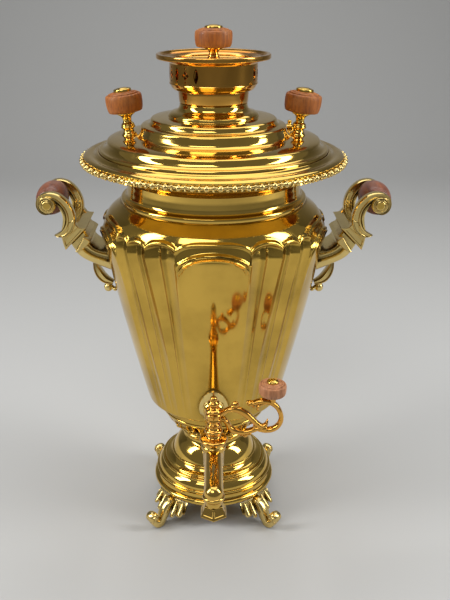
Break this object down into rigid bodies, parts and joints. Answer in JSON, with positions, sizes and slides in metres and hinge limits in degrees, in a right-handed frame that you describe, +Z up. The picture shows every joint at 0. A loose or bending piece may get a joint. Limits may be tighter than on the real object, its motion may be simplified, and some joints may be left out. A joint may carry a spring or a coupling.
{
  "type": "samovar",
  "caption": "Fluted vase-shaped brass tea samovar on a footed base, with lift-off lid, pierced crown and cap, scroll handles with wooden grips and a turning plug tap.",
  "frame": {"origin": "on the body's axis at table level, under the base", "axes": "+Z up along the body's axis, -Y to the front, where the tap is, +X to the right as seen from the front"},
  "size_m": [0.3574, 0.3668, 0.5275],
  "materials": {
    "brass": "polished, mirror bright, slightly hazed",
    "warm_brass": "polished, warmer alloy",
    "cast_brass": "cast and lightly polished, darker in the hollows",
    "knob_wood": "turned hardwood, worn satin lacquer",
    "grip_wood": "turned hardwood, dark stain, gloss",
    "iron": "plain dark iron",
    "gasket": "pressed leather washer"
  },
  "bodies": {
    "stand": {"base_plinth": "brass", "foot_front_right": "cast_brass", "foot_front_left": "cast_brass", "foot_rear_left": "cast_brass", "foot_rear_right": "cast_brass", "foot_screws": "iron", "air_collar": "brass", "body_shell": "brass", "fire_tube": "warm_brass", "grate": "iron", "neck_ring": "brass", "rim_flange": "brass", "bead_border": "brass", "tap_rosette": "brass", "tap_body": "warm_brass", "tap_gasket": "gasket", "tap_lock_nut": "brass", "handle_right": "cast_brass", "handle_left": "cast_brass", "grip_right": "grip_wood", "grip_left": "grip_wood", "grip_rod_right": "iron", "grip_rod_left": "iron", "handle_nuts": "brass"},
    "tap_handle": {"tap_key": "warm_brass", "key_scroll": "warm_brass", "key_knob": "knob_wood", "key_button": "brass", "key_washer": "brass", "key_nut": "brass"},
    "lid": {"lid_dome": "brass", "lid_stem_right": "brass", "lid_stem_left": "brass", "lid_knob_right": "knob_wood", "lid_knob_left": "knob_wood", "lid_button_right": "brass", "lid_button_left": "brass"},
    "vent": {"vent_cap": "brass"},
    "crown": {"crown_cup": "warm_brass", "crown_gallery": "warm_brass", "crown_flange": "warm_brass", "crown_sleeve": "brass"},
    "cap": {"cap_plate": "brass", "cap_stem": "warm_brass", "cap_knob": "knob_wood", "cap_button": "brass"}
  },
  "joints": [
    {"name": "lid_lift", "type": "slide", "parent": "stand", "child": "lid", "axis": [0, 0, 1], "range_m": [0, 0.11]},
    {"name": "crown_lift", "type": "slide", "parent": "lid", "child": "crown", "axis": [0, 0, 1], "range_m": [0, 0.06]},
    {"name": "cap_lift", "type": "slide", "parent": "crown", "child": "cap", "axis": [0, 0, 1], "range_m": [0, 0.05]},
    {"name": "vent_turn", "type": "hinge", "parent": "lid", "child": "vent", "pos_m": [0.07752, 0.0395, 0.42417], "axis": [0.0777, 0.0396, 0.9962], "continuous": true},
    {"name": "tap_turn", "type": "hinge", "parent": "stand", "child": "tap_handle", "pos_m": [0, -0.16, 0.19], "axis": [0, 0, 1], "range_deg": [-240, 60]}
  ]
}
